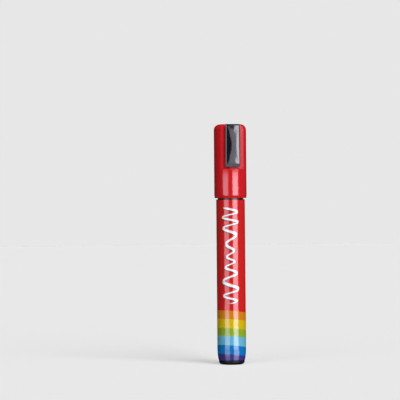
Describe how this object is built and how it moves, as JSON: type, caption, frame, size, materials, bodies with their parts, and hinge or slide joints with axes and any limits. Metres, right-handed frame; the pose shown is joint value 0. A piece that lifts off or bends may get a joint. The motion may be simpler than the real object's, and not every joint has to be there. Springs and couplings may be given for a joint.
{
  "type": "liquid chalk marker",
  "caption": "Capped liquid chalk marker with a spring-loaded pump valve, bullet nib, printed shrink sleeve, domed tail plug and a pull-off cap with a snap-in pocket clip.",
  "frame": {"origin": "centre of the tail plug's flat base, on the marker's axis", "axes": "+Z along the marker towards the cap, -Y towards the clip, +X to the right when the clip is in front"},
  "size_m": [0.0196, 0.02, 0.1454],
  "materials": {
    "red_plastic": "glossy moulded red",
    "printed_film": "glossy printed film, red with rainbow bands at the tail",
    "black_plastic": "satin moulded black",
    "clip_black": "polished moulded black",
    "white_plastic": "satin moulded white",
    "seal_plastic": "soft milky polyethylene",
    "seal_rubber": "matt soft rubber",
    "nib_fibre": "pressed fibre",
    "spring_steel": "drawn stainless wire",
    "ball_steel": "polished steel"
  },
  "bodies": {
    "barrel": {"barrel": "black_plastic", "printed_sleeve": "printed_film", "tail_plug": "black_plastic", "front_section": "black_plastic", "valve_seat": "seal_rubber", "valve_cage": "white_plastic", "valve_spring": "spring_steel"},
    "cap": {"cap_shell": "red_plastic", "inner_cap": "seal_plastic"},
    "clip": {"clip": "clip_black"},
    "plunger": {"nib": "nib_fibre", "valve_rod": "white_plastic"},
    "ball": {"mixing_ball": "ball_steel"}
  },
  "joints": [
    {"name": "cap_pull", "type": "slide", "parent": "barrel", "child": "cap", "axis": [0, 0, 1], "range_m": [0, 0.05]},
    {"name": "clip_flex", "type": "hinge", "parent": "cap", "child": "clip", "pos_m": [0, -0.0066, 0.1409], "axis": [-1, 0, 0], "range_deg": [0, 4], "stiffness_Nm_per_rad": 0.3},
    {"name": "nib_press", "type": "slide", "parent": "barrel", "child": "plunger", "axis": [0, 0, -1], "range_m": [0, 0.003], "stiffness_N_per_m": 800, "springref_m": -0.003, "deforming": ["valve_spring"]},
    {"name": "ball_rattle", "type": "slide", "parent": "barrel", "child": "ball", "axis": [0, 0, 1], "range_m": [0, 0.071]}
  ]
}
